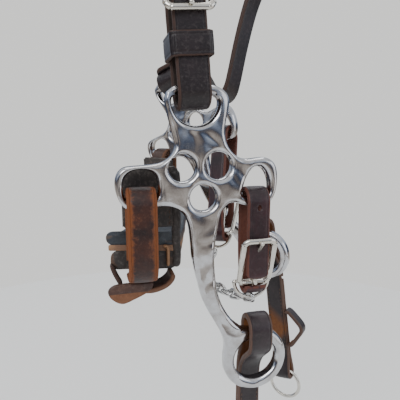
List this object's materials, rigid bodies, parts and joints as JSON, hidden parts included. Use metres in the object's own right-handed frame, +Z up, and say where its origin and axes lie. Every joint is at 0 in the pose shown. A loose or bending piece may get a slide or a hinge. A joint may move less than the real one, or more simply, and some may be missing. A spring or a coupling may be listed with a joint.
{
  "type": "mechanical hackamore",
  "caption": "Bitless bridle lever pair with padded noseband, curb straps and chain, hung from one cheekpiece strap; rein connectors end in wire rings.",
  "frame": {"origin": "centre of the middle punched hole at the top of the near cheekpiece, from which the whole part hangs", "axes": "+Z up along the hang, +Y from the near cheek to the far cheek, +X from the noseband to the curb"},
  "size_m": [0.1407, 0.1544, 0.3755],
  "materials": {
    "cheek_steel": "polished, lightly worn cast steel",
    "nickel": "polished nickel plate",
    "chain_steel": "bright twisted steel wire",
    "dark_leather": "very dark brown grain side, worn at the edges",
    "tan_leather": "worn tan flesh side and rubbed edges"
  },
  "bodies": {
    "headstall": {"near_cheekpiece": "dark_leather", "near_cheek_buckle": "nickel", "near_chape": "dark_leather"},
    "near_cheek_tongue": {"near_cheek_tongue": "nickel"},
    "near_keeper": {"near_keeper": "dark_leather"},
    "near_cheek": {"near_cheek": "cheek_steel"},
    "noseband": {"nose_roll": "dark_leather", "nose_liner": "tan_leather", "nose_pad": "dark_leather", "near_nose_panel": "dark_leather", "far_nose_panel": "dark_leather", "near_nose_strap": "tan_leather", "near_nose_billet": "tan_leather", "near_nose_loop": "dark_leather", "far_nose_strap": "tan_leather"},
    "near_curb": {"near_curb_strap": "dark_leather", "near_curb_buckle": "nickel"},
    "near_curb_tongue": {"near_curb_tongue": "nickel"},
    "near_curb_dee": {"near_curb_dee": "nickel"},
    "near_rein": {"near_rein_strap": "dark_leather"},
    "near_rein_ring": {"near_rein_ring": "nickel"},
    "far_cheek": {"far_cheek": "cheek_steel"},
    "far_cheekpiece": {"far_cheekpiece": "dark_leather"},
    "far_curb": {"far_curb_strap": "dark_leather", "far_curb_buckle": "nickel"},
    "far_curb_tongue": {"far_curb_tongue": "nickel"},
    "far_curb_dee": {"far_curb_dee": "nickel"},
    "far_rein": {"far_rein_strap": "dark_leather", "far_rein_loop": "dark_leather"},
    "far_rein_ring": {"far_rein_ring": "nickel"},
    "curb_link_1": {"curb_link_1": "chain_steel"},
    "curb_link_2": {"curb_link_2": "chain_steel"},
    "curb_link_3": {"curb_link_3": "chain_steel"},
    "curb_link_4": {"curb_link_4": "chain_steel"},
    "curb_link_5": {"curb_link_5": "chain_steel"},
    "curb_link_6": {"curb_link_6": "chain_steel"},
    "curb_link_7": {"curb_link_7": "chain_steel"},
    "curb_link_8": {"curb_link_8": "chain_steel"},
    "curb_link_9": {"curb_link_9": "chain_steel"},
    "curb_link_10": {"curb_link_10": "chain_steel"},
    "curb_link_11": {"curb_link_11": "chain_steel"}
  },
  "joints": [
    {"name": "keeper_slide", "type": "slide", "parent": "headstall", "child": "near_keeper", "axis": [-0.0785, 0, 0.9969], "range_m": [-0.004, 0.005]},
    {"name": "near_cheek_tongue_hinge", "type": "hinge", "parent": "headstall", "child": "near_cheek_tongue", "pos_m": [0.00306, -0.0051, -0.03888], "axis": [0.9969, 0, 0.0785], "range_deg": [-3, 0]},
    {"name": "near_lever", "type": "hinge", "parent": "headstall", "child": "near_cheek", "pos_m": [0.0074, -0.0038, -0.09401], "axis": [0, -1, 0], "range_deg": [0, 12]},
    {"name": "near_noseband_hinge", "type": "hinge", "parent": "near_cheek", "child": "noseband", "pos_m": [-0.0179, -0.0038, -0.14801], "axis": [1, 0, 0], "range_deg": [0, 12]},
    {"name": "near_curb_hinge", "type": "hinge", "parent": "near_cheek", "child": "near_curb", "pos_m": [0.0405, -0.0038, -0.14871], "axis": [1, 0, 0], "range_deg": [-6, 0]},
    {"name": "near_curb_tongue_hinge", "type": "hinge", "parent": "near_curb", "child": "near_curb_tongue", "pos_m": [0.0405, -0.0055, -0.19221], "axis": [1, 0, 0], "range_deg": [0, 3]},
    {"name": "near_curb_dee_hinge", "type": "hinge", "parent": "near_curb", "child": "near_curb_dee", "pos_m": [0.0405, -0.0019, -0.19221], "axis": [1, 0, 0], "range_deg": [-6, 0]},
    {"name": "curb_link_1_hinge", "type": "hinge", "parent": "near_curb_dee", "child": "curb_link_1", "pos_m": [0.0405, -0.0019, -0.20181], "axis": [1, 0, 0], "range_deg": [-6, 0]},
    {"name": "curb_link_2_hinge", "type": "hinge", "parent": "curb_link_1", "child": "curb_link_2", "pos_m": [0.03858, 0.00408, -0.20349], "axis": [-0.0789, 0.2456, 0.9661], "range_deg": [0, 10]},
    {"name": "curb_link_3_hinge", "type": "hinge", "parent": "curb_link_2", "child": "curb_link_3", "pos_m": [0.03666, 0.01005, -0.2052], "axis": [-0.9532, -0.3022, 0], "range_deg": [0, 10]},
    {"name": "curb_link_4_hinge", "type": "hinge", "parent": "curb_link_3", "child": "curb_link_4", "pos_m": [0.03474, 0.01611, -0.20656], "axis": [-0.0297, 0.0939, 0.9951], "range_deg": [0, 10]},
    {"name": "curb_link_5_hinge", "type": "hinge", "parent": "curb_link_4", "child": "curb_link_5", "pos_m": [0.0328, 0.0223, -0.20714], "axis": [-0.9399, -0.3414, 0], "range_deg": [0, 10]},
    {"name": "curb_link_6_hinge", "type": "hinge", "parent": "curb_link_5", "child": "curb_link_6", "pos_m": [0.03051, 0.0284, -0.207], "axis": [0.0233, -0.0742, 0.997], "range_deg": [0, 10]},
    {"name": "curb_link_7_hinge", "type": "hinge", "parent": "curb_link_6", "child": "curb_link_7", "pos_m": [0.02855, 0.03457, -0.20641], "axis": [-0.9921, -0.1257, 0], "range_deg": [0, 10]},
    {"name": "curb_link_8_hinge", "type": "hinge", "parent": "curb_link_7", "child": "curb_link_8", "pos_m": [0.02781, 0.04096, -0.20525], "axis": [-0.036, -0.2851, 0.9578], "range_deg": [0, 10]},
    {"name": "curb_link_9_hinge", "type": "hinge", "parent": "curb_link_8", "child": "curb_link_9", "pos_m": [0.02891, 0.04714, -0.20325], "axis": [-0.9547, 0.2976, 0], "range_deg": [0, 10]},
    {"name": "curb_link_10_hinge", "type": "hinge", "parent": "curb_link_9", "child": "curb_link_10", "pos_m": [0.03091, 0.05285, -0.20076], "axis": [-0.2243, -0.3861, 0.8948], "range_deg": [0, 10]},
    {"name": "curb_link_11_hinge", "type": "hinge", "parent": "curb_link_10", "child": "curb_link_11", "pos_m": [0.0339, 0.05787, -0.19782], "axis": [-0.5205, 0.8539, 0], "range_deg": [0, 10]},
    {"name": "near_rein_hinge", "type": "hinge", "parent": "near_cheek", "child": "near_rein", "pos_m": [0.0436, -0.0038, -0.22146], "axis": [1, 0, 0], "range_deg": [0, 9]},
    {"name": "near_rein_ring_hinge", "type": "hinge", "parent": "near_rein", "child": "near_rein_ring", "pos_m": [0.0436, 0.0078, -0.32966], "axis": [1, 0, 0], "range_deg": [-12, 12]},
    {"name": "far_noseband_hinge", "type": "hinge", "parent": "noseband", "child": "far_cheek", "pos_m": [0.01443, 0.12235, -0.13613], "axis": [0.6446, -0.692, 0.3251], "range_deg": [0, 8]},
    {"name": "far_cheekpiece_hinge", "type": "hinge", "parent": "far_cheek", "child": "far_cheekpiece", "pos_m": [0.01866, 0.11342, -0.07587], "axis": [0.6446, -0.692, 0.3251], "range_deg": [-4, 0]},
    {"name": "far_curb_hinge", "type": "hinge", "parent": "far_cheek", "child": "far_curb", "pos_m": [0.05167, 0.08242, -0.11809], "axis": [0.6909, -0.7154, 0.1045], "range_deg": [0, 1.5]},
    {"name": "far_curb_tongue_hinge", "type": "hinge", "parent": "far_curb", "child": "far_curb_tongue", "pos_m": [0.04414, 0.06559, -0.18357], "axis": [0.6909, -0.7154, 0.1045], "range_deg": [-3, 0]},
    {"name": "far_curb_dee_hinge", "type": "hinge", "parent": "far_curb", "child": "far_curb_dee", "pos_m": [0.04158, 0.06326, -0.18258], "axis": [0.6909, -0.7154, 0.1045], "range_deg": [0, 10]},
    {"name": "far_rein_hinge", "type": "hinge", "parent": "far_cheek", "child": "far_rein", "pos_m": [0.07589, 0.0624, -0.18506], "axis": [0.6947, -0.7193, 0], "range_deg": [0, 9]},
    {"name": "far_rein_ring_hinge", "type": "hinge", "parent": "far_rein", "child": "far_rein_ring", "pos_m": [0.09366, 0.06069, -0.29241], "axis": [0.6879, -0.7123, 0.1392], "range_deg": [-12, 12]}
  ]
}
